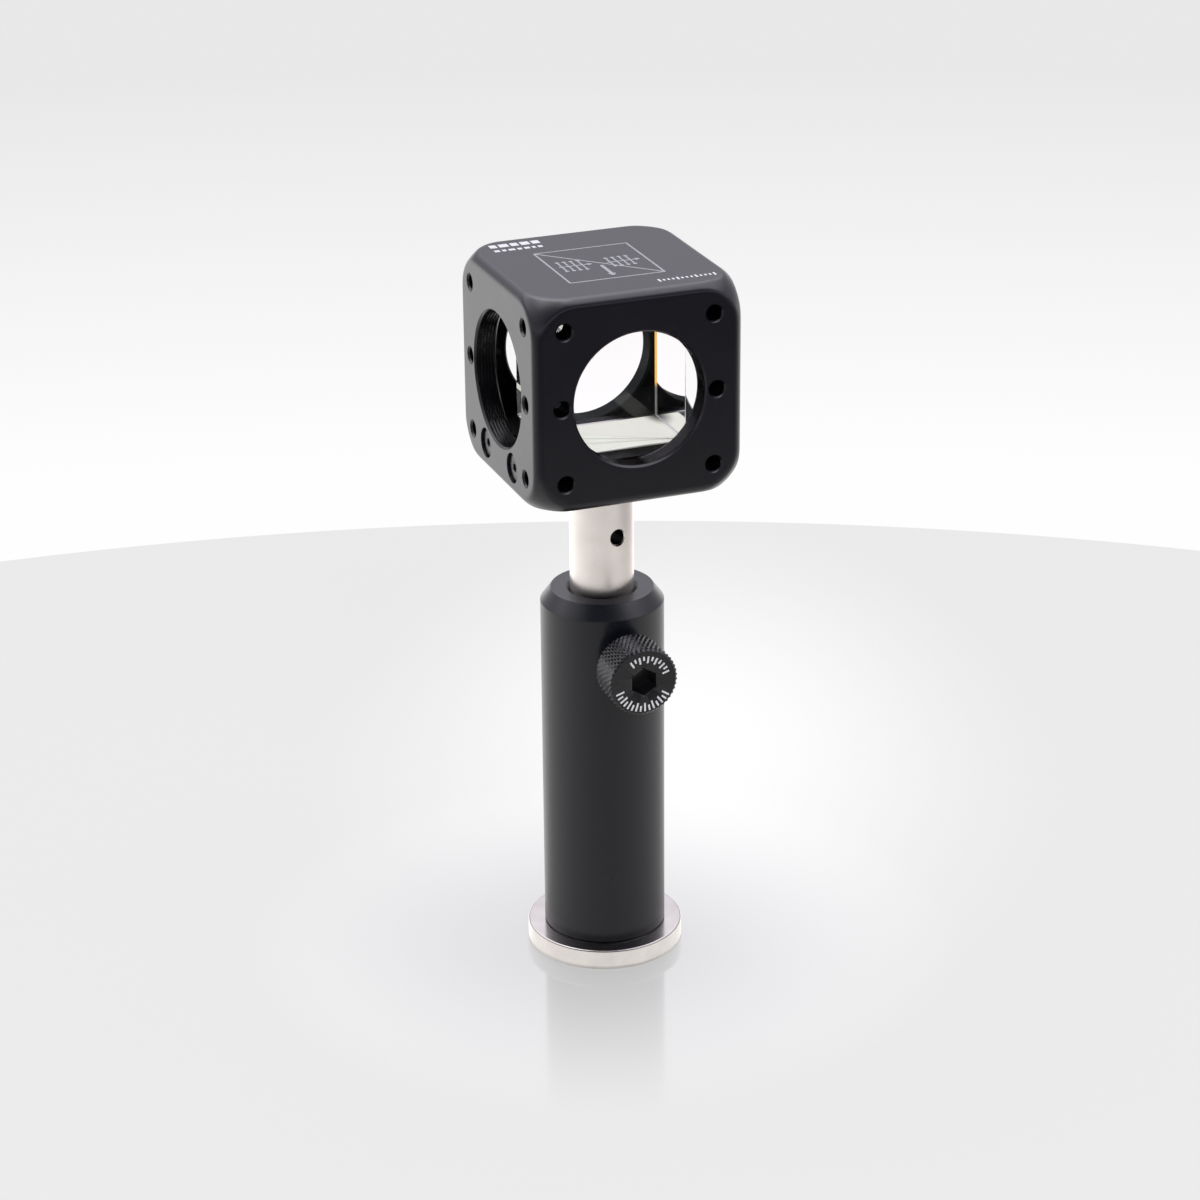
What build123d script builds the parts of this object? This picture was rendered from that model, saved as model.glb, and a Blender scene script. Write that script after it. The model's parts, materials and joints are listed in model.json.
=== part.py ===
from build123d import *
import math
import os

# Polarizing beamsplitter cube on its post, post holder and round pedestal.
# Millimetres, +Z up, origin at the centre of the pedestal's lower face.
# The faces of the cube stay parallel to the axes: front is -Y, left is -X.

# Pedestal
flange_d = 31.5
flange_h = 4.2
flange_edge = 0.4
foot_screw_d = 6.0
foot_screw_head_d = 11.4
foot_screw_sunk = 0.2
foot_screw_hex = 4.0
foot_screw_hex_depth = 1.8
foot_screw_end_gap = 0.8

# Post holder
holder_d = 24.6
holder_length = 73.7
holder_bevel_r = 2.1
holder_bevel_h = 2.75
holder_floor = 8.0
bore_mouth_chamfer = 0.8
running_clearance = 0.05

# Post
post_d = 12.7
post_length = 75.0
post_exposed = 24.75
post_chamfer = 0.8
post_foot_thread_d = 6.0
post_foot_thread_depth = 12.0
cross_hole_d = 3.0
cross_hole_drop = 12.5
cross_hole_azimuth = 9.3

# Stud between the post and the cube
stud_d = 4.0
stud_length = 12.0
stud_hex = 2.0
stud_hex_depth = 2.0
stud_end_gap = 0.8
seat_gap = 0.05

# Locking thumbscrew with its sprung tip, measured outward from the post's axis
lock_drop = 11.7
lock_d = 6.0
knob_d = 14.2
knob_length = 8.3
knob_gap = 1.9
knob_chamfer = 0.35
knob_hex = 5.0
knob_hex_depth = 4.0
spigot_d = 5.0
spigot_end_gap = 1.0
tip_gap = 0.1
tip_stroke = 1.15
tip_nose_d = 2.0
tip_head_length = 1.2
tip_fit = 0.08
rim_t = 0.6
spring_bore_d = 3.2
spring_bore_length = 6.0
spring_wire_d = 0.35
spring_side_gap = 0.12
spring_end_gap = 0.04
spring_turns = 4

# Cube housing
cube_side = 42.0
wall = 4.5
edge_round = 1.9
corner_inset = 9.0
corner_ball_margin = 0.06
pocket_corner_r = 3.0
port_d = 26.3
port_chamfer = 0.4
cage_pitch = 30.0
cage_hole_d = 2.9
cage_hole_depth = 6.0
side_hole_pitch = 31.2

# Carrier plate under the glass, and its four side screws
plate_gap = 0.05
plate_corner_cut = 5.5
side_screw_d = 3.0
side_screw_length = 8.0
side_screw_head_d = 5.5
side_screw_head_h = 3.0
side_screw_head_gap = 0.2
side_screw_sunk = 0.5
side_screw_hex = 1.5
side_screw_hex_depth = 1.6
side_screw_pitch = 15.0
side_screw_drop = 2.4
side_screw_end_gap = 0.6

# Glass
glass_side = 25.4
glass_bevel = 0.3
film_t = 0.05
pad_t = 0.3
pad_margin = 0.6

# Places that follow from the sizes above
holder_top_z = flange_h + holder_length
bore_d = post_d + 2 * running_clearance
bore_floor_z = flange_h + holder_floor
cube_bottom_z = holder_top_z + post_exposed
cube_centre_z = cube_bottom_z + cube_side / 2
post_top_z = cube_bottom_z - seat_gap
post_bottom_z = post_top_z - post_length
lock_z = holder_top_z - lock_drop
half = cube_side / 2
pocket_side = cube_side - 2 * wall
glass_bottom_z = cube_centre_z - glass_side / 2
plate_top_z = glass_bottom_z - pad_t
plate_side = pocket_side - 2 * plate_gap
FACE_ANGLES = {"front": 0, "right": 90, "back": 180, "left": 270}


def turned(*profile):
    """Solid turned about Z from a closed half profile of (radius, height) points."""
    outline = Polyline(*[(r, 0, z) for r, z in profile], close=True)
    return revolve(make_face(outline), Axis.Z)


def drum(diameter, low, high):
    """Plain cylinder on the Z axis between two heights."""
    return Pos(0, 0, low) * Cylinder(diameter / 2, high - low, align=(Align.CENTER, Align.CENTER, Align.MIN))


def hex_key_hole(across_flats, low, high):
    """Hexagonal hole on the Z axis between two heights."""
    flats = RegularPolygon(across_flats / 2, 6, major_radius=False)
    return Pos(0, 0, low) * extrude(flats, amount=high - low)


def on_face(name, across, height):
    """Local frame on one side of the cube: +Z points out of the face, X runs across it."""
    turn = Rot(0, 0, FACE_ANGLES[name])
    return Pos(0, 0, cube_centre_z) * turn * Pos(across, -half, height) * Rot(90, 0, 0)


def lock_frame():
    """Frame of the thumbscrew: +Z runs outward along -Y from the post's axis."""
    return Pos(0, 0, lock_z) * Rot(90, 0, 0)


def pedestal_base():
    r = flange_d / 2
    disc = turned(
        (0, 0),
        (r - flange_edge, 0),
        (r, flange_edge),
        (r, flange_h - flange_edge),
        (r - flange_edge, flange_h),
        (0, flange_h),
    )
    sink_r = foot_screw_head_d / 2 + foot_screw_sunk + running_clearance
    through_r = foot_screw_d / 2 + running_clearance
    sink = turned((0, 0), (sink_r, 0), (through_r, sink_r - through_r), (through_r, flange_h), (0, flange_h))
    return disc - sink


def pedestal_screw():
    head_r = foot_screw_head_d / 2
    r = foot_screw_d / 2
    low = foot_screw_sunk
    top = bore_floor_z - foot_screw_end_gap
    neck = low + head_r - r
    screw = turned((0, low), (head_r, low), (r, neck), (r, top), (0, top))
    return screw - hex_key_hole(foot_screw_hex, low, low + foot_screw_hex_depth)


def post_holder():
    r = holder_d / 2
    bore_r = bore_d / 2
    thread_r = foot_screw_d / 2 + running_clearance
    body = turned(
        (thread_r, flange_h),
        (r, flange_h),
        (r, holder_top_z - holder_bevel_h),
        (r - holder_bevel_r, holder_top_z),
        (bore_r + bore_mouth_chamfer, holder_top_z),
        (bore_r, holder_top_z - bore_mouth_chamfer),
        (bore_r, bore_floor_z),
        (thread_r, bore_floor_z),
    )
    hole_d = lock_d + 2 * running_clearance
    return body - lock_frame() * drum(hole_d, 0, r + 1)


def optical_post():
    r = post_d / 2
    rod = turned(
        (0, post_bottom_z),
        (r - post_chamfer, post_bottom_z),
        (r, post_bottom_z + post_chamfer),
        (r, post_top_z - post_chamfer),
        (r - post_chamfer, post_top_z),
        (0, post_top_z),
    )
    stud_hole_d = stud_d + 2 * running_clearance
    rod -= drum(stud_hole_d, cube_bottom_z - stud_length / 2 - stud_end_gap, post_top_z)
    rod -= drum(post_foot_thread_d, post_bottom_z, post_bottom_z + post_foot_thread_depth)
    cross_place = Pos(0, 0, post_top_z - cross_hole_drop) * Rot(0, 0, cross_hole_azimuth) * Rot(90, 0, 0)
    return rod - cross_place * Cylinder(cross_hole_d / 2, 2 * post_d)


def post_stud():
    low = cube_bottom_z - stud_length / 2
    high = cube_bottom_z + stud_length / 2
    return drum(stud_d, low, high) - hex_key_hole(stud_hex, high - stud_hex_depth, high)


# Stations of the lock, outward from the post's axis
tip_u = post_d / 2 + tip_gap
shank_front_u = tip_u + tip_stroke
rim_back_u = shank_front_u + rim_t
spring_bore_end_u = rim_back_u + spring_bore_length
pin_head_front_u = rim_back_u + spring_end_gap
pin_head_back_u = pin_head_front_u + tip_head_length
knob_back_u = holder_d / 2 + knob_gap
knob_face_u = knob_back_u + knob_length
hex_floor_u = knob_face_u - knob_hex_depth
spigot_end_u = hex_floor_u - spigot_end_gap


def thumbscrew_shank():
    r = lock_d / 2
    bore_r = spring_bore_d / 2
    rim_r = tip_nose_d / 2 + tip_fit
    shoulder_u = knob_back_u - running_clearance
    shank = turned(
        (rim_r, shank_front_u),
        (r - rim_t, shank_front_u),
        (r, rim_back_u),
        (r, shoulder_u),
        (spigot_d / 2, shoulder_u),
        (spigot_d / 2, spigot_end_u),
        (0, spigot_end_u),
        (0, spring_bore_end_u),
        (bore_r, spring_bore_end_u),
        (bore_r, rim_back_u),
        (rim_r, rim_back_u),
    )
    return lock_frame() * shank


def thumbscrew_knob():
    r = knob_d / 2
    bore_r = spigot_d / 2 + running_clearance
    bore_end_u = spigot_end_u + running_clearance
    knob = turned(
        (bore_r, knob_back_u),
        (r - knob_chamfer, knob_back_u),
        (r, knob_back_u + knob_chamfer),
        (r, knob_face_u - knob_chamfer),
        (r - knob_chamfer, knob_face_u),
        (0, knob_face_u),
        (0, bore_end_u),
        (bore_r, bore_end_u),
    )
    return lock_frame() * (knob - hex_key_hole(knob_hex, hex_floor_u, knob_face_u))


def plunger_pin():
    nose_r = tip_nose_d / 2
    head_r = spring_bore_d / 2 - tip_fit
    pin = turned(
        (0, tip_u),
        (nose_r, tip_u),
        (nose_r, pin_head_front_u),
        (head_r, pin_head_front_u),
        (head_r, pin_head_back_u),
        (0, pin_head_back_u),
    )
    return lock_frame() * pin


def plunger_spring():
    wire_r = spring_wire_d / 2
    coil_r = spring_bore_d / 2 - spring_side_gap - wire_r
    low = pin_head_back_u + spring_end_gap + wire_r
    high = spring_bore_end_u - spring_end_gap - wire_r
    path = Pos(0, 0, low) * Helix(pitch=(high - low) / spring_turns, height=high - low, radius=coil_r)
    section = Plane(path @ 0, z_dir=path % 0) * RegularPolygon(wire_r, 6)
    return lock_frame() * sweep(section, path, is_frenet=True)


def corner_cutters():
    """What is turned away at each corner, to a ball that only just reaches the rounded edges."""
    centre = half - corner_inset
    edge_reach = corner_inset - edge_round * (1 - math.sqrt(0.5))
    ball_r = edge_reach * math.sqrt(2) + corner_ball_margin
    reach = corner_inset + 1
    block = Box(reach, reach, reach, align=(Align.MIN, Align.MIN, Align.MIN)) - Sphere(ball_r)
    for turn in range(4):
        for flip in (0, 180):
            yield Rot(0, 0, 90 * turn) * Rot(flip, 0, 0) * Pos(centre, centre, centre) * block


def rounded_block():
    block = Box(cube_side, cube_side, cube_side)
    block = fillet(block.edges(), edge_round)
    for cutter in corner_cutters():
        block -= cutter
    return block


def cage_hole():
    """Tapped hole for a cage rod, cut inward from a face."""
    return drum(cage_hole_d, -cage_hole_depth, 1)


def port():
    """Round threaded port through one wall, with its lead-in chamfer."""
    r = port_d / 2
    flare = r + port_chamfer
    return turned((0, -wall - 1), (r, -wall - 1), (r, -port_chamfer), (flare, 0), (flare, 1), (0, 1))


def side_screw_places():
    """The four screws stand a little below the plate's top face."""
    height = plate_top_z - side_screw_drop - cube_centre_z
    for side in ("left", "right"):
        for row, across in (("front", -1), ("back", 1)):
            sign = across if side == "right" else -across
            yield side + "_" + row, on_face(side, sign * side_screw_pitch / 2, height)


def side_screw_recess():
    recess_d = side_screw_head_d + 2 * side_screw_head_gap
    seat = -side_screw_sunk - side_screw_head_h
    clearance_d = side_screw_d + 2 * side_screw_head_gap
    return drum(recess_d, seat, 1) + drum(clearance_d, -wall - 1, seat)


def cube_housing():
    block = Pos(0, 0, cube_centre_z) * rounded_block()
    pocket_h = cube_side - wall
    pocket = extrude(RectangleRounded(pocket_side, pocket_side, pocket_corner_r), amount=pocket_h)
    block -= Pos(0, 0, cube_bottom_z) * pocket
    for name in FACE_ANGLES:
        block -= on_face(name, 0, 0) * port()
        for across in (-1, 1):
            block -= on_face(name, across * side_hole_pitch / 2, 0) * cage_hole()
            for up in (-1, 1):
                block -= on_face(name, across * cage_pitch / 2, up * cage_pitch / 2) * cage_hole()
    for _, place in side_screw_places():
        block -= place * side_screw_recess()
    return block


def carrier_plate():
    """Plate that closes the pocket, its corners cut off to clear the ends of the cage rods."""
    outline = chamfer(Rectangle(plate_side, plate_side).vertices(), plate_corner_cut)
    plate = Pos(0, 0, cube_bottom_z) * extrude(outline, amount=plate_top_z - cube_bottom_z)
    stud_hole_top = cube_bottom_z + stud_length / 2 + stud_end_gap
    plate -= drum(stud_d + 2 * running_clearance, cube_bottom_z, stud_hole_top)
    for _, place in side_screw_places():
        end = -side_screw_sunk - side_screw_head_h - side_screw_length - side_screw_end_gap
        plate -= place * drum(side_screw_d + 2 * running_clearance, end, 0)
    return plate


def side_screw():
    top = -side_screw_sunk
    seat = top - side_screw_head_h
    r = side_screw_d / 2
    head_r = side_screw_head_d / 2
    end = seat - side_screw_length
    screw = turned((0, end), (r, end), (r, seat), (head_r, seat), (head_r, top), (0, top))
    return screw - hex_key_hole(side_screw_hex, top - side_screw_hex_depth, top)


def glass_block():
    block = Box(glass_side, glass_side, glass_side)
    return Pos(0, 0, cube_centre_z) * chamfer(block.edges(), glass_bevel)


def diagonal_slab(near, far):
    """Slab square to the line from the front left to the back right edge of the glass."""
    span = 2 * glass_side
    slab = Pos((near + far) / 2, 0, 0) * Box(far - near, span, span)
    return Pos(0, 0, cube_centre_z) * Rot(0, 0, 45) * slab


def glass_slice(near, far):
    return glass_block() & diagonal_slab(near, far)


def adhesive_pad():
    side = glass_side - 2 * pad_margin
    return Pos(0, 0, plate_top_z) * extrude(Rectangle(side, side), amount=pad_t)


os.makedirs("parts", exist_ok=True)


def save(name, shape):
    shape.label = name
    export_step(shape, "parts/" + name + ".step")


save("pedestal_base", pedestal_base())
save("pedestal_screw", pedestal_screw())
save("post_holder", post_holder())
save("optical_post", optical_post())
save("post_stud", post_stud())
save("thumbscrew_shank", thumbscrew_shank())
save("thumbscrew_knob", thumbscrew_knob())
save("plunger_pin", plunger_pin())
save("plunger_spring", plunger_spring())
save("cube_housing", cube_housing())
save("carrier_plate", carrier_plate())
for place_name, place in side_screw_places():
    save("side_screw_" + place_name, place * side_screw())
save("front_prism", glass_slice(-glass_side, -film_t / 2))
save("polarizing_film", glass_slice(-film_t / 2, film_t / 2))
save("back_prism", glass_slice(film_t / 2, glass_side))
save("adhesive_pad", adhesive_pad())
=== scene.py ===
import json
import math

import bmesh
import bpy
import numpy as np
from mathutils import Matrix, Vector


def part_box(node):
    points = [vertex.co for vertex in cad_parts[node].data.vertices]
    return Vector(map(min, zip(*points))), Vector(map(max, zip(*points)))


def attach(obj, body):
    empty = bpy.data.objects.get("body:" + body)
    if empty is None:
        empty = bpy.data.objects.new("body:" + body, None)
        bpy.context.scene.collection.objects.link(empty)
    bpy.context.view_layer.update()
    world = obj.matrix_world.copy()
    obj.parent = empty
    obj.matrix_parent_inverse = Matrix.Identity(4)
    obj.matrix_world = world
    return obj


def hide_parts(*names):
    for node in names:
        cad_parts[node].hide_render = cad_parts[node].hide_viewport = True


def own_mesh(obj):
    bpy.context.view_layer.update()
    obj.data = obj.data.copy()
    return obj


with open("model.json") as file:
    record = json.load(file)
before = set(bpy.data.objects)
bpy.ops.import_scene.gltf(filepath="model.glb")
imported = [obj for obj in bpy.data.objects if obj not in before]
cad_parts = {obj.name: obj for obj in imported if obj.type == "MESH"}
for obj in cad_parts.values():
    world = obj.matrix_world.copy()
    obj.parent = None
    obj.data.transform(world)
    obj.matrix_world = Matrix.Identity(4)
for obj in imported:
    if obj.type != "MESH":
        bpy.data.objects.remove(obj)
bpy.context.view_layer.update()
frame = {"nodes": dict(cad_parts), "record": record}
mounts = {m["name"]: m for m in frame["record"]["mounts"]}

MM = 0.001

# Camera, in the row frame: fitted to the photograph's 1200 pixel frame
PHOTO_SIDE_PX = 1200
FOCAL_PX = 3362.92
SENSOR_MM = 36.0
CAMERA_PLACE = (-0.219446, -0.573019, 0.335023)
CAMERA_AZIMUTH = 20.916
CAMERA_TILT = 22.993
CAMERA_ROLL = -0.51
CLIP = (0.01, 20)

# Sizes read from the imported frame
housing_low, housing_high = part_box("cube_housing")
CUBE_CENTRE = (housing_low + housing_high) / 2
HALF = (housing_high.x - housing_low.x) / 2
PORT_R = mounts["front_port"]["dims"]["r_mm"] * MM
CAGE_HALF = mounts["front_cage_holes"]["dims"]["spacing_x_mm"] * MM / 2
CAGE_HOLE_R = mounts["front_cage_holes"]["dims"]["hole_r_mm"] * MM
SIDE_HALF = mounts["front_side_holes"]["dims"]["spacing_x_mm"] * MM / 2
FACE_TURNS = {"front": 0, "right": 90, "back": 180, "left": 270}

# Housing details
WALL = 4.5 * MM
EDGE_ROUND = 1.9 * MM
CORNER_INSET = 9.0 * MM
BALL_MARGIN = 0.06 * MM
POCKET_CORNER_R = 3.0 * MM
POCKET_CORNER_STEPS = 6
EDGE_BLEND = 0.35 * MM
CAGE_HOLE_DEPTH = 6.0 * MM
COUNTERSINK_R = 1.85 * MM
COUNTERSINK_DEPTH = 0.4 * MM
PORT_CHAMFER = 0.4 * MM
PORT_PITCH = 0.635 * MM
PORT_THREAD = 0.12 * MM
PORT_INNER_CHAMFER = 0.35 * MM
PORT_POINTS = 144
HOLE_PITCH = 0.6 * MM
HOLE_THREAD = 0.16 * MM
HOLE_POINTS = 24
LARGE_ROUND = 256
ROUND = 192
SMALL_ROUND = 64
OVERSHOOT = 1.0 * MM


def rotation_about_z(degrees):
    return Matrix.Rotation(math.radians(degrees), 4, "Z")


# Meshes

def add_object(name, data):
    obj = bpy.data.objects.new(name, data)
    bpy.context.scene.collection.objects.link(obj)
    return obj


def new_object(name, verts, faces):
    mesh = bpy.data.meshes.new(name)
    mesh.from_pydata([tuple(v) for v in verts], [], faces)
    mesh.update()
    return add_object(name, mesh)


def loft(name, rings, joined=False):
    """Closed solid through rings of equally many points, capped at both ends or joined end to end."""
    count = len(rings[0])
    verts = [p for ring in rings for p in ring]
    faces = []
    spans = len(rings) if joined else len(rings) - 1
    for i in range(spans):
        a = i * count
        b = ((i + 1) % len(rings)) * count
        for k in range(count):
            n = (k + 1) % count
            faces.append((a + k, a + n, b + n, b + k))
    if not joined:
        faces.append(tuple(reversed(range(count))))
        last = (len(rings) - 1) * count
        faces.append(tuple(last + k for k in range(count)))
    obj = new_object(name, verts, faces)
    outward(obj)
    return obj


def outward(obj):
    bm = bmesh.new()
    bm.from_mesh(obj.data)
    bmesh.ops.recalc_face_normals(bm, faces=bm.faces)
    bm.to_mesh(obj.data)
    bm.free()


def circle_ring(radius, height, count):
    """Ring about Z; radius is a number or a function of the angle."""
    ring = []
    for k in range(count):
        angle = 2 * math.pi * k / count
        r = radius(angle) if callable(radius) else radius
        ring.append((r * math.cos(angle), r * math.sin(angle), height))
    return ring


def turned(name, profile, count, joined=False):
    """Solid about Z through (radius, height) pairs, round where the radius is a number."""
    return loft(name, [circle_ring(r, z, count) for r, z in profile], joined)


def triangle_wave(x):
    """0 at whole numbers, 1 half way between them."""
    return 1 - abs(2 * (x - math.floor(x)) - 1)


def thread_radius(radius, height, depth, pitch):
    """Radius, by angle, of a helical thread that dips inward by depth."""
    return lambda angle: radius - depth * triangle_wave(height / pitch - angle / (2 * math.pi))


def hex_radius(flat):
    """Radius, by angle, of a hexagon; flat is half of its width across flats."""
    sector = math.pi / 3
    return lambda angle: flat / math.cos((angle + sector / 2) % sector - sector / 2)


def boolean(target, tool, operation="DIFFERENCE"):
    modifier = target.modifiers.new("cut", "BOOLEAN")
    modifier.operation = operation
    modifier.solver = "MANIFOLD"
    modifier.object = tool
    apply_modifiers(target)
    mesh = tool.data
    bpy.data.objects.remove(tool)
    bpy.data.meshes.remove(mesh)


def apply_modifiers(obj):
    graph = bpy.context.evaluated_depsgraph_get()
    graph.update()
    mesh = bpy.data.meshes.new_from_object(obj.evaluated_get(graph))
    old = obj.data
    obj.modifiers.clear()
    obj.data = mesh
    bpy.data.meshes.remove(old)


def join(objects, name):
    """One mesh out of several, in place."""
    bm = bmesh.new()
    for obj in objects:
        part = obj.data.copy()
        part.transform(obj.matrix_world)
        bm.from_mesh(part)
        bpy.data.meshes.remove(part)
    mesh = bpy.data.meshes.new(name)
    bm.to_mesh(mesh)
    bm.free()
    for obj in objects:
        old = obj.data
        bpy.data.objects.remove(obj)
        bpy.data.meshes.remove(old)
    return add_object(name, mesh)


def place(obj, matrix):
    obj.data.transform(matrix)
    obj.data.update()
    return obj


SHARP_ANGLE = 32
KNURL_SHARP_ANGLE = 25


def smooth(obj, degrees=SHARP_ANGLE):
    """Smooth shading with sharp edges kept, and flat faces kept flat."""
    obj.data.shade_smooth()
    obj.data.set_sharp_from_angle(angle=math.radians(degrees))
    modifier = obj.modifiers.new("flat faces", "WEIGHTED_NORMAL")
    modifier.keep_sharp = True
    modifier.weight = 100
    return obj


def dress(obj, material, body, slot, *nodes):
    obj.data.materials.clear()
    obj.data.materials.append(material)
    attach(obj, body)
    if nodes:
        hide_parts(*nodes)
    return obj


# Shader nodes

NOISE_SPAN = (0.2, 0.8)


def node_material(name):
    material = bpy.data.materials.new(name)
    material.use_nodes = True
    return material, material.node_tree, material.node_tree.nodes["Principled BSDF"]


def add_node(tree, kind, **settings):
    node = tree.nodes.new(kind)
    for key, value in settings.items():
        setattr(node, key, value)
    return node


def put(tree, value, socket):
    """Give a socket a plain value or a link."""
    if isinstance(value, bpy.types.NodeSocket):
        tree.links.new(value, socket)
    else:
        socket.default_value = value


def feed(tree, node, *values):
    """Give a node's first sockets plain values or links."""
    for value, socket in zip(values, node.inputs):
        put(tree, value, socket)


def calc(tree, operation, *values):
    node = add_node(tree, "ShaderNodeMath", operation=operation)
    feed(tree, node, *values)
    return node.outputs["Value"]


def vector_calc(tree, operation, *values, output="Value"):
    node = add_node(tree, "ShaderNodeVectorMath", operation=operation)
    feed(tree, node, *values)
    return node.outputs[output]


def map_range(tree, value, source, target=(0.0, 1.0), curve="LINEAR"):
    node = add_node(tree, "ShaderNodeMapRange", interpolation_type=curve)
    for name, number in zip(("From Min", "From Max", "To Min", "To Max"), (*source, *target)):
        node.inputs[name].default_value = number
    tree.links.new(value, node.inputs["Value"])
    return node.outputs["Result"]


def shader_mix(tree, share, first, second):
    node = add_node(tree, "ShaderNodeMixShader")
    feed(tree, node, share, first, second)
    return node.outputs["Shader"]


def coordinates(tree, kind="Object"):
    return add_node(tree, "ShaderNodeTexCoord").outputs[kind]


def part_of(tree, vector, letter):
    node = add_node(tree, "ShaderNodeSeparateXYZ")
    tree.links.new(vector, node.inputs["Vector"])
    return node.outputs[letter]


def noise(tree, size, detail=2.0, stretch=(1, 1, 1)):
    """Noise in object space whose cells are about size across, in metres."""
    mapping = add_node(tree, "ShaderNodeMapping")
    mapping.inputs["Scale"].default_value = [s / size for s in stretch]
    texture = add_node(tree, "ShaderNodeTexNoise")
    texture.inputs["Scale"].default_value = 1.0
    texture.inputs["Detail"].default_value = detail
    tree.links.new(coordinates(tree), mapping.inputs["Vector"])
    tree.links.new(mapping.outputs["Vector"], texture.inputs["Vector"])
    return texture.outputs["Fac"]


def ramp(tree, value, stops):
    """Colour read from a table of (place from 0 to 1, colour) pairs."""
    node = add_node(tree, "ShaderNodeValToRGB")
    elements = node.color_ramp.elements
    while len(elements) < len(stops):
        elements.new(0.5)
    for element, (position, colour) in zip(elements, stops):
        element.position = position
        element.color = (*colour, 1)
    tree.links.new(value, node.inputs["Fac"])
    return node.outputs["Color"]


def tint(tree, value, dark, light):
    return ramp(tree, value, tuple(zip(NOISE_SPAN, (dark, light))))


def bump(tree, value, distance):
    node = add_node(tree, "ShaderNodeBump")
    node.inputs["Distance"].default_value = distance
    tree.links.new(value, node.inputs["Height"])
    return node.outputs["Normal"]


# Materials

CLOUD_DETAIL = 3.0
BLACK_CLOUD = 9 * MM
STEEL_CLOUD = 4 * MM
STEEL_RING_STRETCH = (0.02, 0.02, 1)


def anodised(name, dark, light, rough, grain, relief, ior):
    """Black anodised aluminium: fine blasted grain under a faint cloudiness; grain and relief in mm."""
    material, tree, shader = node_material(name)
    cloud = noise(tree, BLACK_CLOUD, CLOUD_DETAIL)
    tree.links.new(tint(tree, cloud, dark, light), shader.inputs["Base Color"])
    tree.links.new(map_range(tree, cloud, NOISE_SPAN, rough), shader.inputs["Roughness"])
    tree.links.new(bump(tree, noise(tree, grain * MM), relief * MM), shader.inputs["Normal"])
    shader.inputs["IOR"].default_value = ior
    return material


def stainless(name, dark, light, rough, line, relief):
    """Turned stainless steel: fine rings round Z and slight cloudiness; line and relief in mm."""
    material, tree, shader = node_material(name)
    shader.inputs["Metallic"].default_value = 1.0
    cloud = noise(tree, STEEL_CLOUD, CLOUD_DETAIL)
    tree.links.new(tint(tree, cloud, dark, light), shader.inputs["Base Color"])
    rings = noise(tree, line * MM, 1.0, STEEL_RING_STRETCH)
    tree.links.new(map_range(tree, rings, NOISE_SPAN, rough), shader.inputs["Roughness"])
    tree.links.new(bump(tree, rings, relief * MM), shader.inputs["Normal"])
    return material


def speckled(name, colour, cell, dim, roughness):
    """Plain pale finish with slight specks, cell mm across and dim times as bright."""
    material, tree, shader = node_material(name)
    shade = tint(tree, noise(tree, cell * MM), tuple(dim * c for c in colour), colour)
    tree.links.new(shade, shader.inputs["Base Color"])
    shader.inputs["Roughness"].default_value = roughness
    return material


def glow_with(tree, shader, shade, strength):
    tree.links.new(shade, shader.inputs["Base Color"])
    tree.links.new(shade, shader.inputs["Emission Color"])
    put(tree, strength, shader.inputs["Emission Strength"])


# Adhesive seen through the bottom of the glass: a long patch of painted shade at the far corner and two thin
# streaks
SHADE_SQUEEZE = 0.3
SHADE_LEFT = 0.15
SHADE_REACH = 4.5 * MM
STREAKS = (((0.65, 1.0, 0), -2.7 * MM), ((0.35, 1.0, 0), -6.0 * MM))
STREAK_HALF_WIDTH = 0.6 * MM
STREAK_LOSS = 0.35
ADHESIVE_ROUGHNESS = 0.6

# Painted light: it glows to rays that met one surface before it, and two in a strip beside the right face
FIRST_SURFACE = 1.5
MIRRORED_STRIP = 4.6 * MM


def shade_and_streak_share(tree, corner):
    """1 on the plain adhesive, less in the painted shade at the corner and along the streaks."""
    where = coordinates(tree)
    level = vector_calc(tree, "MULTIPLY", where, (1, SHADE_SQUEEZE, 0), output="Vector")
    away = vector_calc(tree, "DISTANCE", level, (corner.x, SHADE_SQUEEZE * corner.y, 0))
    # Painted shade: the share falls towards the far corner
    share = map_range(tree, away, (0.0, SHADE_REACH), (SHADE_LEFT, 1.0), "SMOOTHSTEP")
    for normal, offset in STREAKS:
        across = vector_calc(tree, "DOT_PRODUCT", where, normal)
        near = calc(tree, "COMPARE", across, offset, STREAK_HALF_WIDTH)
        share = calc(tree, "MULTIPLY", share, calc(tree, "MULTIPLY_ADD", near, -STREAK_LOSS, 1.0))
    return share


def glowing_wetted_glass(name, colour, shade_and_streak_dark, glow, corner):
    """Bottom of the glass: the adhesive wets it, so its white shows from inside, lit by a painted glow of its
    own.
    """
    material, tree, shader = node_material(name)
    beside = calc(tree, "GREATER_THAN", part_of(tree, coordinates(tree), "X"), corner.x - MIRRORED_STRIP)
    depth = add_node(tree, "ShaderNodeLightPath").outputs["Ray Depth"]
    direct = calc(tree, "LESS_THAN", depth, calc(tree, "ADD", beside, FIRST_SURFACE))
    # The dark colour paints the shade at the corner and the streaks
    shade = tint(tree, shade_and_streak_share(tree, corner), shade_and_streak_dark, colour)
    # Painted light: the bottom glows with the adhesive's colour
    glow_with(tree, shader, shade, calc(tree, "MULTIPLY", direct, glow))
    shader.inputs["Roughness"].default_value = ADHESIVE_ROUGHNESS
    return material


def painted_glow_line(name, upper, lower, change, glow):
    """Painted glowing line along a glass edge, standing in for the light seen there: coloured above a height
    and pale grey below it.
    """
    material, tree, shader = node_material(name)
    height = map_range(tree, part_of(tree, coordinates(tree), "Z"), (change - MM, change + MM))
    glow_with(tree, shader, tint(tree, height, lower, upper), glow)
    return material


def glass_material(name, colour=(1, 1, 1), roughness=0.0):
    material, _, shader = node_material(name)
    shader.inputs["Base Color"].default_value = (*colour, 1)
    shader.inputs["Transmission Weight"].default_value = 1.0
    shader.inputs["Roughness"].default_value = roughness
    shader.inputs["IOR"].default_value = GLASS_IOR
    return material


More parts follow.
